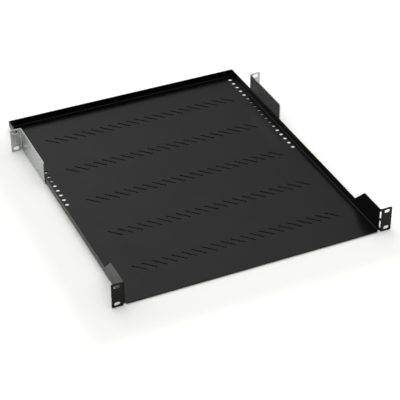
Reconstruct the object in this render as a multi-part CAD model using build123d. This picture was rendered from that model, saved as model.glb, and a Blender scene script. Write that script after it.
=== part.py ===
from build123d import *
import os

# Vented shelf for a 19 inch rack, one unit high, in millimetres.
# X runs across the rack, -Y is the front face of the ears, Z is up.
# The origin lies at the middle of the footprint, on the surface that it stands on.

# Tray sheet and its folds
tray_width = 442.0
tray_depth = 550.0
tray_sheet = 1.5
tray_bend = 1.5
wall_height = 14.0
corner_gap = 0.3
corner_relief = 0.4
wall_end_slope = 5.0

# Ears, which with this tray span the 482.6 mm of the rack standard
ear_width = 20.3
ear_height = 44.0
ear_slot_inset = 8.75
ear_slot_rise = 31.75
ear_slot_length = 10.0
ear_slot_width = 6.5
ear_corner = 1.2

# Cheeks that carry the front ears
cheek_length = 52.0
cheek_corner = 3.0

# Slots that perforate the fold of each front ear
fold_slot_count = 2
fold_slot_length = 14.2
fold_slot_width = 3.2
fold_slot_tie = 3.8
fold_slot_top = 4.2

# Slanted vents in the floor
vent_length = 26.5
vent_width = 2.5
vent_angle = 45.0
vent_pitch = 17.0
vent_row_pitch = 100.0
vent_front = 71.5
vent_shift = 3.0
vent_side_margin = 50.0
vent_rear_margin = 70.0

# Rows of round holes that take the rear brackets
row_hole = 7.0
row_pitch = 15.0
row_count = 18
row_inset = 11.0
row_rear = 15.0

# Rear brackets
bracket_sheet = 1.5
bracket_bend = 1.0
bracket_clearance = 0.2
bracket_relief = 1.0
bracket_hole = 7.0
covered_hole_count = 8
free_rear_hole_count = 5
flange_width = 25.4
flange_lead = 7.5
flange_corner = 2.5
plate_setback = 7.5
plate_tail = 15.0
plate_corner = 2.5

# Levels and lines that the pieces share
floor_bottom = bracket_sheet
floor_top = floor_bottom + tray_sheet
wall_top = floor_bottom + wall_height
tray_fold = tray_bend + tray_sheet
tray_fold_top = floor_bottom + tray_fold
bracket_fold = bracket_bend + bracket_sheet
half_width = tray_width / 2
ear_end = half_width + ear_width
front = -tray_depth / 2
back = tray_depth / 2
row_x = half_width - row_inset
row_back = back - row_rear


def folded_section(points, sheet, bend):
    """Section of a folded sheet: the points run along its outer face, the sheet lies to their left."""
    outer_face = FilletPolyline(*points, radius=bend + sheet)
    return make_face(offset(outer_face, amount=sheet, side=Side.LEFT))


def both_sides(piece):
    """A piece modelled on the right, with its mirror image on the left."""
    return piece + mirror(piece, Plane.YZ)


def prism_z(section, bottom, top):
    """Extrude a plan section between two levels."""
    return extrude(Plane.XY.offset(bottom) * section, top - bottom)


def relief(x, y, width, depth, height):
    """Block that clears a corner at the ground, reaching the same way to each side of it."""
    return Pos(x, y, 0) * Box(2 * width, 2 * depth, 2 * height)


def side_walls():
    """Floor and side walls, folded as one channel and trimmed to the outline of the cheeks."""
    channel = folded_section(
        [
            (-half_width, ear_height),
            (-half_width, floor_bottom),
            (half_width, floor_bottom),
            (half_width, ear_height),
        ],
        tray_sheet,
        tray_bend,
    )
    cheek_front = front + tray_fold
    cheek_end = front + cheek_length
    fold_end = back - tray_fold - corner_relief
    outline = make_face(
        Polyline(
            (cheek_front, floor_bottom),
            (fold_end, floor_bottom),
            (fold_end, tray_fold_top),
            (back, tray_fold_top + wall_end_slope),
            (back, wall_top),
            (cheek_end + ear_height - wall_top, wall_top),
            (cheek_end, ear_height),
            (cheek_front, ear_height),
            close=True,
        )
    )
    top_corner = outline.vertices().sort_by_distance((cheek_end, ear_height))[0]
    outline = fillet(top_corner, cheek_corner)
    return extrude(Plane.XZ * channel, back, both=True) & extrude(
        Plane.YZ * outline, half_width, both=True
    )


def floor_and_back():
    """Floor from its plain front edge to the fold of the rear wall."""
    section = folded_section(
        [(front, floor_bottom), (back, floor_bottom), (back, wall_top)],
        tray_sheet,
        tray_bend,
    )
    half_back = half_width - tray_sheet - corner_gap
    return extrude(Plane.YZ * section, half_back, both=True)


def corner_notches():
    """Relief at each corner of the floor, where two folds would meet."""
    size = tray_fold + corner_relief
    front_notch = relief(half_width, front, size, size, tray_fold_top)
    back_notch = relief(half_width, back, size, size, tray_fold_top)
    return both_sides(front_notch + back_notch)


def finished_ear(ear, face, reach):
    """Right-hand ear with its free corners clipped and its two slots cut at its face."""
    edges = ear.edges().filter_by(Axis.Y)
    foot = edges.group_by(Axis.Z)[0].sort_by(Axis.X)[0]
    ear = chamfer([*edges.sort_by(Axis.X)[-2:], foot], ear_corner)
    slots = Sketch() + [
        Pos(ear_end - ear_slot_inset, ear_height / 2 + rise)
        * SlotOverall(ear_slot_length, ear_slot_width)
        for rise in (-ear_slot_rise / 2, ear_slot_rise / 2)
    ]
    return ear - extrude(Plane.XZ.offset(-face) * slots, reach, both=True)


def front_ear():
    """Right-hand front ear with its fold, from the cheek outwards."""
    inner = half_width - tray_sheet
    lead = front + 2 * tray_fold
    section = folded_section(
        [(inner, lead), (inner, front), (ear_end, front)],
        tray_sheet,
        tray_bend,
    )
    ear = prism_z(section, 0, ear_height)
    ear -= relief(inner, front, tray_fold, tray_fold, floor_top)
    ear -= relief(inner, lead, tray_fold, tray_fold, tray_fold_top)
    return finished_ear(ear, front, tray_fold) - fold_slots(inner + tray_fold)


def fold_slots(fold_end):
    """Upright slots through the fold of the right-hand ear, cut along its bisector."""
    top = ear_height - fold_slot_top - fold_slot_length / 2
    step = fold_slot_length + fold_slot_tie
    bend_centre = Plane(
        origin=(fold_end, front + tray_fold, 0),
        x_dir=(1, -1, 0),
        z_dir=(-1, -1, 0),
    )
    slots = Sketch() + [
        Pos(0, top - row * step) * Rectangle(fold_slot_width, fold_slot_length)
        for row in range(fold_slot_count)
    ]
    return extrude(bend_centre * slots, 2 * tray_fold)


def vents():
    """Slanted punched slots of the floor, in rows across it."""
    columns = 1 + int((tray_width - 2 * vent_side_margin) / vent_pitch)
    rows = 1 + int((tray_depth - vent_front - vent_rear_margin) / vent_row_pitch)
    middle = front + vent_front + (rows - 1) * vent_row_pitch / 2
    slot = Rectangle(vent_length, vent_width, rotation=-vent_angle)
    grid = GridLocations(vent_pitch, vent_row_pitch, columns, rows)
    slots = Sketch() + [Pos(vent_shift, middle) * place * slot for place in grid]
    return prism_z(slots, 0, wall_top)


def row_places(first, count):
    """Places of the holes, counted forwards from the rear of the right-hand row."""
    return [Pos(row_x, row_back - (first + step) * row_pitch) for step in range(count)]


def shelf_tray():
    """Tray folded from one sheet, with its cheeks, ears, vents and hole rows."""
    holes = Sketch() + [place * Circle(row_hole / 2) for place in row_places(0, row_count)]
    tray = side_walls() + floor_and_back() - corner_notches() + both_sides(front_ear())
    return tray - vents() - both_sides(prism_z(holes, 0, wall_top))


def rear_bracket():
    """Right-hand bracket: flange under the floor, plate beside the wall, ear at its rear."""
    covered = row_places(free_rear_hole_count, covered_hole_count)
    plate_in = half_width + bracket_clearance
    plate_out = plate_in + bracket_sheet
    flange_in = plate_out - flange_width
    flange_front = covered[-1].position.Y - flange_lead
    plate_front = flange_front + plate_setback
    plate_back = covered[0].position.Y + plate_tail
    fold_front = plate_back - bracket_fold

    angle = folded_section(
        [(flange_in, 0), (plate_out, 0), (plate_out, ear_height)],
        bracket_sheet,
        bracket_bend,
    )
    outline = make_face(
        Polyline(
            (flange_front, 0),
            (fold_front - bracket_relief, 0),
            (fold_front - bracket_relief, bracket_fold),
            (fold_front, bracket_fold),
            (fold_front, ear_height),
            (plate_front, ear_height),
            (plate_front, bracket_fold),
            (flange_front, bracket_fold),
            close=True,
        )
    )
    top_corner = outline.vertices().sort_by_distance((plate_front, ear_height))[0]
    outline = chamfer(top_corner, plate_corner)
    long_angle = extrude(Plane.XZ.offset(-plate_back) * angle, plate_back - flange_front)
    bracket = long_angle & extrude(Plane.YZ * outline, plate_out)
    bracket -= relief(plate_out, flange_front, bracket_fold, plate_setback, bracket_fold)
    bracket = chamfer(bracket.edges().filter_by(Axis.Z).sort_by(Axis.X)[:2], flange_corner)
    ends = (covered[0], covered[-1])
    holes = Sketch() + [place * Circle(bracket_hole / 2) for place in ends]
    return bracket + rear_ear(plate_in, plate_back) - prism_z(holes, 0, bracket_sheet)


def rear_ear(plate_in, plate_back):
    """Ear of the right-hand bracket with its fold, from the plate outwards."""
    lead = plate_back - 2 * bracket_fold
    section = folded_section(
        [(ear_end, plate_back), (plate_in, plate_back), (plate_in, lead)],
        bracket_sheet,
        bracket_bend,
    )
    ear = prism_z(section, 0, ear_height)
    ear -= relief(plate_in, plate_back, bracket_fold, 2 * bracket_fold, bracket_fold)
    return finished_ear(ear, plate_back, bracket_fold)


os.makedirs("parts", exist_ok=True)
export_step(shelf_tray(), "parts/shelf_tray.step")
right_bracket = rear_bracket()
export_step(right_bracket, "parts/rear_bracket_right.step")
export_step(mirror(right_bracket, Plane.YZ), "parts/rear_bracket_left.step")
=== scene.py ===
from math import cos, radians, sin

import bmesh
import bpy
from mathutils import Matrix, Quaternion, Vector


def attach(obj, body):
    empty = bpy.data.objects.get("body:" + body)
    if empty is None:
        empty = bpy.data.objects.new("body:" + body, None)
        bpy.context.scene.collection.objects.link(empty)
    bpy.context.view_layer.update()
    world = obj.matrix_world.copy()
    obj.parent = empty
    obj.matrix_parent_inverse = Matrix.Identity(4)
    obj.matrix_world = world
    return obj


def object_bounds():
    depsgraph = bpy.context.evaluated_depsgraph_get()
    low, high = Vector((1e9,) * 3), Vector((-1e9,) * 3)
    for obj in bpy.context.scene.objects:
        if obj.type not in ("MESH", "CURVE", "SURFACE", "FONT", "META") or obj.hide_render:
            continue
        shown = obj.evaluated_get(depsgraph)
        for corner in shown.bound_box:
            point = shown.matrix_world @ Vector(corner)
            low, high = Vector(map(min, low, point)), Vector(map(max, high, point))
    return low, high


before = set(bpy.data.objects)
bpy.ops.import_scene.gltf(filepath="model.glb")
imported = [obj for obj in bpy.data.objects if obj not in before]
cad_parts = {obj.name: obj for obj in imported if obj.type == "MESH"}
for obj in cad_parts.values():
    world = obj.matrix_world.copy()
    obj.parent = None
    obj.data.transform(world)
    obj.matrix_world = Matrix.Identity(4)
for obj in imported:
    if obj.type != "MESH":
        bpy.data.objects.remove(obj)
CAD_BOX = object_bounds()

bl_info = {
    "name": "Vented rack shelf",
    "version": (1, 0, 0),
    "blender": (4, 5, 0),
    "location": "3D View > Sidebar > Rack Shelf",
    "description": "Finishes a folded rack shelf and its rear brackets, and sets its studio",
    "category": "Object",
}

MM = 0.001
TRAY = "shelf_tray"
BRACKETS = ("rear_bracket_left", "rear_bracket_right")

# Each weld, with its side of the shelf: -1 is left and 1 is right
WELDS = {"corner_weld_left": -1, "corner_weld_right": 1}

# The tray's outer side faces and the underside of its floor
TRAY_HALF = 221 * MM
FLOOR_LEVEL = 1.5 * MM

# The rows of round holes: their middle in Y, then the free holes, as middle and reach in X, and in Y
# from the row's middle
ROW_MIDDLE = 136.5 * MM
FREE_HOLES = ((210 * MM, 5.5 * MM), (97.8 * MM, 34.3 * MM))

# The sheet of paper, its gap to the shelf, and how far the painted shade around the shelf shifts to the
# left and front
PAPER_SIZE = 12.0
PAPER_GAP = 0.2 * MM
SHADE_LEAN = (32 * MM, 50 * MM, 0.0)

# The light tent's ramps: the direction of each, and how far along it the tent is dark and bright
TENT_RAMPS = (((-0.4, 0.21, 1.0), 0.46, 0.65), ((1.0, 0.3, 0.6), -0.5, 0.1))

# The sweep fades between these heights above the horizon, as the sine of the angle
SWEEP_TOP = 0.24
SWEEP_WHITE = 0.14

# The scale of the zinc's streaks along each axis: they are long in Y, the way that the sheet was rolled
ROLLED = (1.0, 0.03, 1.0)

# A place nearer than this to a face is on it
NEAR = 0.05 * MM


def linear(colour):
    """Linear RGBA of an sRGB hex colour."""
    channels = [int(colour[i : i + 2], 16) / 255 for i in (1, 3, 5)]
    return [c / 12.92 if c <= 0.04045 else ((c + 0.055) / 1.055) ** 2.4 for c in channels] + [1.0]


def add_node(tree, kind, settings=None, links=None):
    """Adds a node, with its settings and what feeds its sockets.

    A socket goes by its name, or by its number where several have the same name.
    """
    node = tree.nodes.new(kind)
    for name, value in (settings or {}).items():
        if isinstance(name, int) or name in node.inputs:
            node.inputs[name].default_value = value
        else:
            setattr(node, name, value)
    for name, source in (links or {}).items():
        tree.links.new(source, node.inputs[name])
    return node


def new_material(name):
    """An empty node material, and the tree to fill."""
    material = bpy.data.materials.new(name)
    material.use_nodes = True
    material.node_tree.nodes.clear()
    return material, material.node_tree


def dress(obj, material):
    """Gives a piece its finish."""
    obj.data.materials.clear()
    obj.data.materials.append(material)


def soft_edge(tree, radius):
    """The normal of slightly rounded edges, and a mask that is 0 on the faces and rises along edges."""
    rounded = add_node(tree, "ShaderNodeBevel", {"samples": 6, "Radius": radius}).outputs["Normal"]
    flat = add_node(tree, "ShaderNodeNewGeometry").outputs["Normal"]
    alike = add_node(
        tree,
        "ShaderNodeVectorMath",
        {"operation": "DOT_PRODUCT"},
        {0: rounded, 1: flat},
    )
    edge = add_node(
        tree,
        "ShaderNodeMapRange",
        {"From Min": 1.0, "From Max": 0.8},
        {"Value": alike.outputs["Value"]},
    )
    return rounded, edge.outputs["Result"]


def wear_and_highlight_tone(tree, drift, edge, tones):
    """A colour that drifts between two tones over the faces, and turns to a third along the edges: worn
    coat on the tray, a painted highlight on the zinc's cut edges.
    """
    dark, light, worn = tones
    face = add_node(
        tree,
        "ShaderNodeMix",
        {"data_type": "RGBA", "A": dark, "B": light},
        {"Factor": drift},
    )
    whole = add_node(
        tree,
        "ShaderNodeMix",
        {"data_type": "RGBA", "B": worn},
        {"Factor": edge, "A": face.outputs["Result"]},
    )
    return whole.outputs["Result"]


def powder_coat(finish):
    """Black polyester powder coat on steel, baked to a satin skin.

    The eye sees an even near-black with a fine orange peel and a soft sheen at low angles.
    The coat pulls back from sharp edges, which show a shade greyer and a little worn.
    """
    material, tree = new_material("black_powder_coat")
    place = add_node(tree, "ShaderNodeTexCoord").outputs["Object"]
    rounded, edge = soft_edge(tree, finish.coat_edge)
    patches = add_node(
        tree,
        "ShaderNodeTexNoise",
        {"Scale": 1 / finish.coat_patch, "Detail": 3.0, "Roughness": 0.55},
        {"Vector": place},
    )
    grain = add_node(
        tree,
        "ShaderNodeTexNoise",
        {"Scale": 1 / finish.coat_grain, "Detail": 2.0, "Roughness": 0.5},
        {"Vector": place},
    )
    least, most = finish.coat_roughness
    sheen = add_node(
        tree,
        "ShaderNodeMapRange",
        {"From Min": 0.3, "From Max": 0.7, "To Min": least, "To Max": most},
        {"Value": patches.outputs["Fac"]},
    )
    peel = add_node(
        tree,
        "ShaderNodeBump",
        {"Strength": 0.25, "Distance": finish.coat_peel},
        {"Height": grain.outputs["Fac"], "Normal": rounded},
    )
    tones = (finish.coat_dark, finish.coat_light, finish.coat_worn)
    shader = add_node(
        tree,
        "ShaderNodeBsdfPrincipled",
        {"IOR": finish.coat_ior},
        {
            "Base Color": wear_and_highlight_tone(tree, patches.outputs["Fac"], edge, tones),
            "Roughness": sheen.outputs["Result"],
            "Normal": peel.outputs["Normal"],
        },
    )
    add_node(tree, "ShaderNodeOutputMaterial", links={"Surface": shader.outputs["BSDF"]})
    return material


def galvanised_steel(finish):
    """Hot-dip galvanised steel sheet, skin-passed, so its spangle is nearly rolled out.

    The eye sees a dull light grey with a faint cell pattern and streaks along the rolling.
    Its cut edges are painted lighter, a painted highlight where they catch the light.
    """
    material, tree = new_material("galvanised_steel")
    place = add_node(tree, "ShaderNodeTexCoord").outputs["Object"]
    rounded, edge = soft_edge(tree, finish.zinc_edge)
    spangle = add_node(
        tree,
        "ShaderNodeTexVoronoi",
        {"Scale": 1 / finish.spangle, "Randomness": 1.0},
        {"Vector": place},
    )
    cell = add_node(tree, "ShaderNodeSeparateColor", links={"Color": spangle.outputs["Color"]})
    rolled = add_node(tree, "ShaderNodeMapping", {"Scale": ROLLED}, {"Vector": place})
    streak = add_node(
        tree,
        "ShaderNodeTexNoise",
        {"Scale": 1 / finish.streak, "Detail": 3.0},
        {"Vector": rolled.outputs["Vector"]},
    )
    drift = add_node(
        tree,
        "ShaderNodeMix",
        {"data_type": "FLOAT", "Factor": 0.5},
        {"A": cell.outputs["Red"], "B": streak.outputs["Fac"]},
    )
    least, most = finish.zinc_roughness
    dullness = add_node(
        tree,
        "ShaderNodeMapRange",
        {"From Min": 0.2, "From Max": 0.8, "To Min": least, "To Max": most},
        {"Value": drift.outputs["Result"]},
    )
    relief = add_node(
        tree,
        "ShaderNodeBump",
        {"Strength": 0.12, "Distance": finish.streak_depth},
        {"Height": streak.outputs["Fac"], "Normal": rounded},
    )
    # The third tone is a painted highlight along the zinc's cut edges
    tones = (finish.zinc_dark, finish.zinc_light, finish.zinc_edge_highlight)
    shader = add_node(
        tree,
        "ShaderNodeBsdfPrincipled",
        {"Metallic": 1.0},
        {
            "Base Color": wear_and_highlight_tone(tree, drift.outputs["Result"], edge, tones),
            "Roughness": dullness.outputs["Result"],
            "Normal": relief.outputs["Normal"],
        },
    )
    add_node(tree, "ShaderNodeOutputMaterial", links={"Surface": shader.outputs["BSDF"]})
    return material


def shown_to_eye(tree):
    """1 for a camera, glossy or transmitted ray, so that metal shows the paper as the eye sees it."""
    path = add_node(tree, "ShaderNodeLightPath")
    seen = path.outputs["Is Camera Ray"]
    for ray in ("Is Glossy Ray", "Is Transmission Ray"):
        either = add_node(
            tree,
            "ShaderNodeMath",
            {"operation": "MAXIMUM"},
            {0: seen, 1: path.outputs[ray]},
        )
        seen = either.outputs["Value"]
    return seen


def step_from_shelf(tree, near, far):
    """0 on the paper under the shelf and in a painted shade around it, rising to 1 where the paper lies
    clear of it.

    That painted shade lies over the lamps' real shadow, and leans to the front and left, away from the
    light.
    """
    clear = add_node(tree, "ShaderNodeTexCoord").outputs["Object"]
    half_box = (CAD_BOX[1][0], CAD_BOX[1][1], 0.0)
    for step in (
        {"operation": "ADD", 1: SHADE_LEAN},
        {"operation": "ABSOLUTE"},
        {"operation": "SUBTRACT", 1: half_box},
        {"operation": "MAXIMUM"},
    ):
        clear = add_node(tree, "ShaderNodeVectorMath", step, {0: clear}).outputs["Vector"]
    gap = add_node(tree, "ShaderNodeVectorMath", {"operation": "LENGTH"}, {0: clear})
    rise = add_node(
        tree,
        "ShaderNodeMapRange",
        {"interpolation_type": "SMOOTHSTEP", "From Min": near, "From Max": far},
        {"Value": gap.outputs["Value"]},
    )
    return rise.outputs["Result"]


def seen_through_holes(tree):
    """1 on the paper that the eye sees through the round holes in front of and behind the brackets.

    Each row is alike to the left and right, and to the front and back of its middle.
    """
    folded = add_node(tree, "ShaderNodeTexCoord").outputs["Object"]
    for step in ({"operation": "SUBTRACT", 1: (0.0, ROW_MIDDLE, 0.0)}, {"operation": "ABSOLUTE"}):
        folded = add_node(tree, "ShaderNodeVectorMath", step, {0: folded}).outputs["Vector"]
    along = add_node(tree, "ShaderNodeSeparateXYZ", links={"Vector": folded})
    within = [
        add_node(
            tree,
            "ShaderNodeMath",
            {"operation": "COMPARE", 1: middle, 2: reach},
            {0: along.outputs[axis]},
        ).outputs["Value"]
        for axis, (middle, reach) in zip("XY", FREE_HOLES)
    ]
    under = add_node(tree, "ShaderNodeMath", {"operation": "MULTIPLY"}, dict(enumerate(within)))
    return under.outputs["Value"]


def paper_white(studio):
    """Matt white studio paper.

    Clear of the shelf and through its round holes it is shown white, by a glow for the eye alone.
    """
    material, tree = new_material("studio_paper")
    around = add_node(
        tree,
        "ShaderNodeMath",
        {"operation": "MULTIPLY", 1: studio.paper_glow},
        {0: step_from_shelf(tree, studio.glow_from, studio.glow_full)},
    )
    shown = add_node(
        tree,
        "ShaderNodeMath",
        {"operation": "MULTIPLY_ADD", 1: studio.hole_glow},
        {0: seen_through_holes(tree), 2: around.outputs["Value"]},
    )
    strength = add_node(
        tree,
        "ShaderNodeMath",
        {"operation": "MULTIPLY"},
        {0: shown_to_eye(tree), 1: shown.outputs["Value"]},
    )
    matt = add_node(tree, "ShaderNodeBsdfDiffuse", {"Color": studio.paper_colour})
    glow = add_node(tree, "ShaderNodeEmission", links={"Strength": strength.outputs["Value"]})
    sheet = add_node(
        tree,
        "ShaderNodeAddShader",
        links={0: matt.outputs["BSDF"], 1: glow.outputs["Emission"]},
    )
    add_node(tree, "ShaderNodeOutputMaterial", links={"Surface": sheet.outputs["Shader"]})
    return material


class ShelfFinish(bpy.types.PropertyGroup):
    """Colours and grain of the shelf's two finishes."""

    coat_dark: bpy.props.FloatVectorProperty(
        name="Coat dark",
        description="Darker tone of the powder coat",
        default=linear("#020202"),
        size=4,
        subtype="COLOR",
    )
    coat_light: bpy.props.FloatVectorProperty(
        name="Coat light",
        description="Lighter tone of the powder coat",
        default=linear("#050504"),
        size=4,
        subtype="COLOR",
    )
    coat_worn: bpy.props.FloatVectorProperty(
        name="Coat worn",
        description="Tone of the thin coat along the edges",
        default=linear("#0e0e0d"),
        size=4,
        subtype="COLOR",
    )
    coat_roughness: bpy.props.FloatVectorProperty(
        name="Coat roughness",
        description="Least and greatest roughness of the coat",
        default=(0.26, 0.32),
        size=2,
    )
    coat_ior: bpy.props.FloatProperty(
        name="Coat IOR",
        description="IOR of the coat, under polyester's 1.5 because its satin skin reflects less",
        default=1.27,
    )
    coat_edge: bpy.props.FloatProperty(
        name="Coat edge",
        description="Radius of the coated edges",
        default=0.2 * MM,
        unit="LENGTH",
    )
    coat_patch: bpy.props.FloatProperty(
        name="Coat patches",
        description="Size of the coat's soft patches",
        default=60 * MM,
        unit="LENGTH",
    )
    coat_grain: bpy.props.FloatProperty(
        name="Coat grain",
        description="Size of the orange peel",
        default=0.9 * MM,
        unit="LENGTH",
    )
    coat_peel: bpy.props.FloatProperty(
        name="Coat peel",
        description="Depth of the orange peel",
        default=0.03 * MM,
        unit="LENGTH",
    )
    zinc_dark: bpy.props.FloatVectorProperty(
        name="Zinc dark",
        description="Darker tone of the zinc",
        default=linear("#a2a9a8"),
        size=4,
        subtype="COLOR",
    )
    zinc_light: bpy.props.FloatVectorProperty(
        name="Zinc light",
        description="Lighter tone of the zinc",
        default=linear("#bcbdb8"),
        size=4,
        subtype="COLOR",
    )
    # Painted highlight: the tone painted along the zinc's cut edges
    zinc_edge_highlight: bpy.props.FloatVectorProperty(
        name="Zinc edge highlight",
        description="Bright tone of the cut edges",
        default=linear("#e0e1de"),
        size=4,
        subtype="COLOR",
    )
    zinc_roughness: bpy.props.FloatVectorProperty(
        name="Zinc roughness",
        description="Least and greatest roughness of the zinc",
        default=(0.26, 0.34),
        size=2,
    )
    zinc_edge: bpy.props.FloatProperty(
        name="Zinc edge",
        description="Radius of the cut edges",
        default=0.3 * MM,
        unit="LENGTH",
    )
    spangle: bpy.props.FloatProperty(
        name="Spangle",
        description="Size of the zinc's cells",
        default=4 * MM,
        unit="LENGTH",
    )
    streak: bpy.props.FloatProperty(
        name="Streak",
        description="Width of the rolling streaks",
        default=1.5 * MM,
        unit="LENGTH",
    )
    streak_depth: bpy.props.FloatProperty(
        name="Streak depth",
        description="Depth of the rolling streaks",
        default=0.02 * MM,
        unit="LENGTH",
    )


class ShelfWelds(bpy.types.PropertyGroup):
    """Weld that closes the tray's rear corners."""

    width: bpy.props.FloatProperty(
        name="Width",
        description="Width of a weld at its foot",
        default=3.65 * MM,
        unit="LENGTH",
    )
    crown: bpy.props.FloatProperty(
        name="Crown",
        description="Level of a weld's top",
        default=9.6 * MM,
        unit="LENGTH",
    )
    thinning: bpy.props.FloatProperty(
        name="Thinning",
        description="Width at the crown as a share of the foot",
        default=0.45,
        subtype="FACTOR",
    )
    fold: bpy.props.FloatProperty(
        name="Fold",
        description="Outer radius of the folds that meet it",
        default=3 * MM,
        unit="LENGTH",
    )
    lap: bpy.props.FloatProperty(
        name="Lap",
        description="Radius of its edge inside the tray",
        default=1 * MM,
        unit="LENGTH",
    )
    skin: bpy.props.FloatProperty(
        name="Skin",
        description="How far it is ground back from the tray's outer faces",
        default=0.05 * MM,
        unit="LENGTH",
    )


class ShelfStudio(bpy.types.PropertyGroup):
    """Camera, paper and lights of the studio."""

    azimuth: bpy.props.FloatProperty(
        name="Azimuth",
        description="Camera left of the front",
        default=radians(24.36),
        subtype="ANGLE",
    )
    elevation: bpy.props.FloatProperty(
        name="Elevation",
        description="Camera above the floor",
        default=radians(34.95),
        subtype="ANGLE",
    )
    roll: bpy.props.FloatProperty(
        name="Roll",
        description="Camera tipped anticlockwise",
        default=radians(-0.27),
        subtype="ANGLE",
    )
    distance: bpy.props.FloatProperty(
        name="Distance",
        description="Camera to its aim",
        default=2.385,
        unit="LENGTH",
    )
    aim: bpy.props.FloatVectorProperty(
        name="Aim",
        description="Point that the camera looks at",
        default=(-0.0037, -0.0718, 0.0),
        subtype="TRANSLATION",
    )
    lens: bpy.props.FloatProperty(
        name="Lens",
        description="Focal length",
        default=129.18,
        unit="CAMERA",
    )
    paper_colour: bpy.props.FloatVectorProperty(
        name="Paper",
        description="Colour of the studio paper",
        default=linear("#f4f4f0"),
        size=4,
        subtype="COLOR",
    )
    paper_glow: bpy.props.FloatProperty(
        name="Paper glow",
        description="Light that clear paper adds to the eye alone",
        default=0.165,
    )
    hole_glow: bpy.props.FloatProperty(
        name="Hole glow",
        description="Light that paper under the holes adds to the eye alone",
        default=0.52,
    )
    glow_from: bpy.props.FloatProperty(
        name="Glow from",
        description="Gap to the shelf where the glow starts",
        default=0.0,
        unit="LENGTH",
    )
    glow_full: bpy.props.FloatProperty(
        name="Glow full",
        description="Gap to the shelf where the glow is full",
        default=60 * MM,
        unit="LENGTH",
    )
    low_light: bpy.props.FloatProperty(
        name="Low light",
        description="Strength of the tent's dim side",
        default=0.22,
    )
    high_light: bpy.props.FloatProperty(
        name="High light",
        description="Strength of the tent overhead",
        default=1.62,
    )
    softbox_power: bpy.props.FloatProperty(
        name="Softbox power",
        description="Power of the large softbox",
        default=4.0,
        unit="POWER",
    )
    softbox_size: bpy.props.FloatVectorProperty(
        name="Softbox size",
        description="Width and height of the softbox",
        default=(2.0, 1.6),
        size=2,
        unit="LENGTH",
    )
    softbox_place: bpy.props.FloatVectorProperty(
        name="Softbox place",
        description="Middle of the softbox, which faces the shelf",
        default=(1.9, 0.1, 1.8),
        subtype="TRANSLATION",
    )


def pick_edges(mesh, wanted):
    """Selects the edges of a mesh in edit mode whose middle is wanted."""
    shape = bmesh.from_edit_mesh(mesh)
    for edge in shape.edges:
        edge.select = wanted((edge.verts[0].co + edge.verts[1].co) / 2)
    shape.select_flush_mode()
    bmesh.update_edit_mesh(mesh)


def corner_weld(side, weld):
    """One rear corner closed with weld, ground round to the folds outside, thinning to its crown."""
    outer = Vector((side * (TRAY_HALF - weld.skin), CAD_BOX[1][1] - weld.skin, 0))
    inner = outer - weld.width * Vector((side, 1, 0))
    foot, crown = FLOOR_LEVEL + weld.skin, weld.crown
    middle = (outer + inner) / 2 + Vector((0, 0, (foot + crown) / 2))
    bpy.ops.object.select_all(action="DESELECT")
    bpy.ops.mesh.primitive_cube_add(
        size=1, location=middle, scale=(weld.width, weld.width, crown - foot)
    )
    bpy.ops.object.transform_apply()
    bead = bpy.context.object
    bpy.ops.object.mode_set(mode="EDIT")
    bpy.ops.mesh.select_mode(type="EDGE")

    def at_crown(place):
        return place.z > crown - NEAR

    def upright_inside(place):
        between = foot + NEAR < place.z < crown - NEAR
        return between and place.y < middle.y and side * (place.x - middle.x) < 0

    def low_outside(place):
        outside = place.y > outer.y - NEAR or side * (outer.x - place.x) < NEAR
        return outside and place.z < foot + NEAR

    pick_edges(bead.data, at_crown)
    bpy.ops.transform.resize(value=(weld.thinning, weld.thinning, 1), center_override=outer)
    pick_edges(bead.data, upright_inside)
    bpy.ops.mesh.bevel(offset=weld.lap, segments=3)
    pick_edges(bead.data, low_outside)
    bpy.ops.mesh.bevel(offset=weld.fold, segments=4)
    bpy.ops.object.mode_set(mode="OBJECT")
    bpy.ops.object.shade_smooth_by_angle(angle=radians(40))
    return bead


def lay_paper(studio):
    """A wide flat sheet of paper under the shelf."""
    bpy.ops.object.select_all(action="DESELECT")
    level = CAD_BOX[0][2] - PAPER_GAP
    bpy.ops.mesh.primitive_plane_add(size=PAPER_SIZE, location=(0, 0, level))
    paper = bpy.context.object
    paper.name = "studio_floor"
    dress(paper, paper_white(studio))


def light_world(scene, studio):
    """A light tent, bright overhead and behind the shelf, dim on the camera's side and on the left.

    A white sweep runs round the horizon, so that low views have a white background too.
    """
    scene.world = bpy.data.worlds.new("studio_world")
    scene.world.use_nodes = True
    tree = scene.world.node_tree
    tree.nodes.clear()
    looking = add_node(tree, "ShaderNodeTexCoord").outputs["Generated"]
    ramps = []
    for direction, dark, bright in TENT_RAMPS:
        height = add_node(
            tree,
            "ShaderNodeVectorMath",
            {"operation": "DOT_PRODUCT", 1: direction},
            {0: looking},
        )
        ramp = add_node(
            tree,
            "ShaderNodeMapRange",
            {"From Min": dark, "From Max": bright},
            {"Value": height.outputs["Value"]},
        )
        ramps.append(ramp.outputs["Result"])
    lit = add_node(tree, "ShaderNodeMath", {"operation": "MULTIPLY"}, dict(enumerate(ramps)))
    tent = add_node(
        tree,
        "ShaderNodeMapRange",
        {"To Min": studio.low_light, "To Max": studio.high_light},
        {"Value": lit.outputs["Value"]},
    )
    level = add_node(tree, "ShaderNodeSeparateXYZ", links={"Vector": looking})
    sweep = add_node(
        tree,
        "ShaderNodeMapRange",
        {"From Min": SWEEP_TOP, "From Max": SWEEP_WHITE},
        {"Value": level.outputs["Z"]},
    )
    strength = add_node(
        tree,
        "ShaderNodeMath",
        {"operation": "MAXIMUM"},
        {0: tent.outputs["Result"], 1: sweep.outputs["Result"]},
    )
    light = add_node(
        tree,
        "ShaderNodeBackground",
        {"Color": linear("#ffffff")},
        {"Strength": strength.outputs["Value"]},
    )
    add_node(tree, "ShaderNodeOutputWorld", links={"Surface": light.outputs["Background"]})


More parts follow.
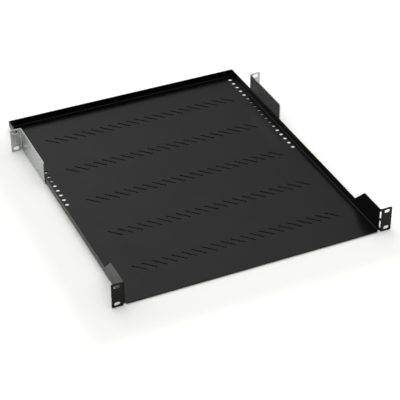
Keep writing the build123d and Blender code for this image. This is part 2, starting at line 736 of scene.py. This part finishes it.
def hang_softbox(scene, studio):
    """One large softbox high on the right, which throws the shelf's shade to the left."""
    lamp = bpy.data.lights.new("softbox", "AREA")
    lamp.shape = "RECTANGLE"
    lamp.size, lamp.size_y = studio.softbox_size
    lamp.energy = studio.softbox_power
    softbox = bpy.data.objects.new("softbox", lamp)
    softbox.location = studio.softbox_place
    softbox.rotation_euler = (-softbox.location).to_track_quat("-Z", "Y").to_euler()
    scene.collection.objects.link(softbox)


def set_camera(scene, studio):
    """The camera stands front left, above the shelf."""
    turn, rise = studio.azimuth, studio.elevation
    towards = Vector((-sin(turn) * cos(rise), -cos(turn) * cos(rise), sin(rise)))
    camera = bpy.data.objects.new("camera", bpy.data.cameras.new("camera"))
    camera.data.lens = studio.lens
    camera.location = Vector(studio.aim) + towards * studio.distance
    level = (-towards).to_track_quat("-Z", "Y")
    camera.rotation_euler = (level @ Quaternion((0, 0, 1), studio.roll)).to_euler()
    scene.collection.objects.link(camera)
    scene.camera = camera


class SHELF_OT_tray(bpy.types.Operator):
    """Powder coat the folded tray"""

    bl_idname = "shelf.tray"
    bl_label = "Powder coat the tray"

    def execute(self, context):
        dress(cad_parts[TRAY], powder_coat(context.scene.shelf_finish))
        return {"FINISHED"}


class SHELF_OT_welds(bpy.types.Operator):
    """Weld the tray's two rear corners shut, and coat the welds like the tray"""

    bl_idname = "shelf.welds"
    bl_label = "Weld the rear corners"

    def execute(self, context):
        for name, side in WELDS.items():
            bead = corner_weld(side, context.scene.shelf_welds)
            bead.name = name
            dress(bead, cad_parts[TRAY].data.materials[0])
            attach(bead, "root")
        return {"FINISHED"}


class SHELF_OT_brackets(bpy.types.Operator):
    """Galvanise the two rear brackets"""

    bl_idname = "shelf.brackets"
    bl_label = "Galvanise the brackets"

    def execute(self, context):
        zinc = galvanised_steel(context.scene.shelf_finish)
        for name in BRACKETS:
            dress(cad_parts[name], zinc)
        return {"FINISHED"}


class SHELF_OT_stage(bpy.types.Operator):
    """Lay the paper, light it and set the camera"""

    bl_idname = "shelf.stage"
    bl_label = "Set the studio"

    def execute(self, context):
        scene = context.scene
        lay_paper(scene.shelf_studio)
        light_world(scene, scene.shelf_studio)
        hang_softbox(scene, scene.shelf_studio)
        set_camera(scene, scene.shelf_studio)
        return {"FINISHED"}


OPERATORS = (SHELF_OT_tray, SHELF_OT_welds, SHELF_OT_brackets, SHELF_OT_stage)


class SHELF_PT_panel(bpy.types.Panel):
    """Lists the shelf's steps in the sidebar"""

    bl_idname = "SHELF_PT_panel"
    bl_label = "Rack shelf"
    bl_space_type = "VIEW_3D"
    bl_region_type = "UI"
    bl_category = "Rack Shelf"

    def draw(self, context):
        for operator in OPERATORS:
            self.layout.operator(operator.bl_idname)


CLASSES = (ShelfFinish, ShelfWelds, ShelfStudio, *OPERATORS, SHELF_PT_panel)


def register():
    for cls in CLASSES:
        bpy.utils.register_class(cls)
    bpy.types.Scene.shelf_finish = bpy.props.PointerProperty(type=ShelfFinish)
    bpy.types.Scene.shelf_welds = bpy.props.PointerProperty(type=ShelfWelds)
    bpy.types.Scene.shelf_studio = bpy.props.PointerProperty(type=ShelfStudio)


def unregister():
    del bpy.types.Scene.shelf_studio
    del bpy.types.Scene.shelf_welds
    del bpy.types.Scene.shelf_finish
    for cls in reversed(CLASSES):
        bpy.utils.unregister_class(cls)


def main():
    """Builds the whole scene."""
    register()
    bpy.context.scene.view_settings.view_transform = "Standard"
    bpy.ops.shelf.tray()
    bpy.ops.shelf.welds()
    bpy.ops.shelf.brackets()
    bpy.ops.shelf.stage()


if __name__ == "__main__":
    main()
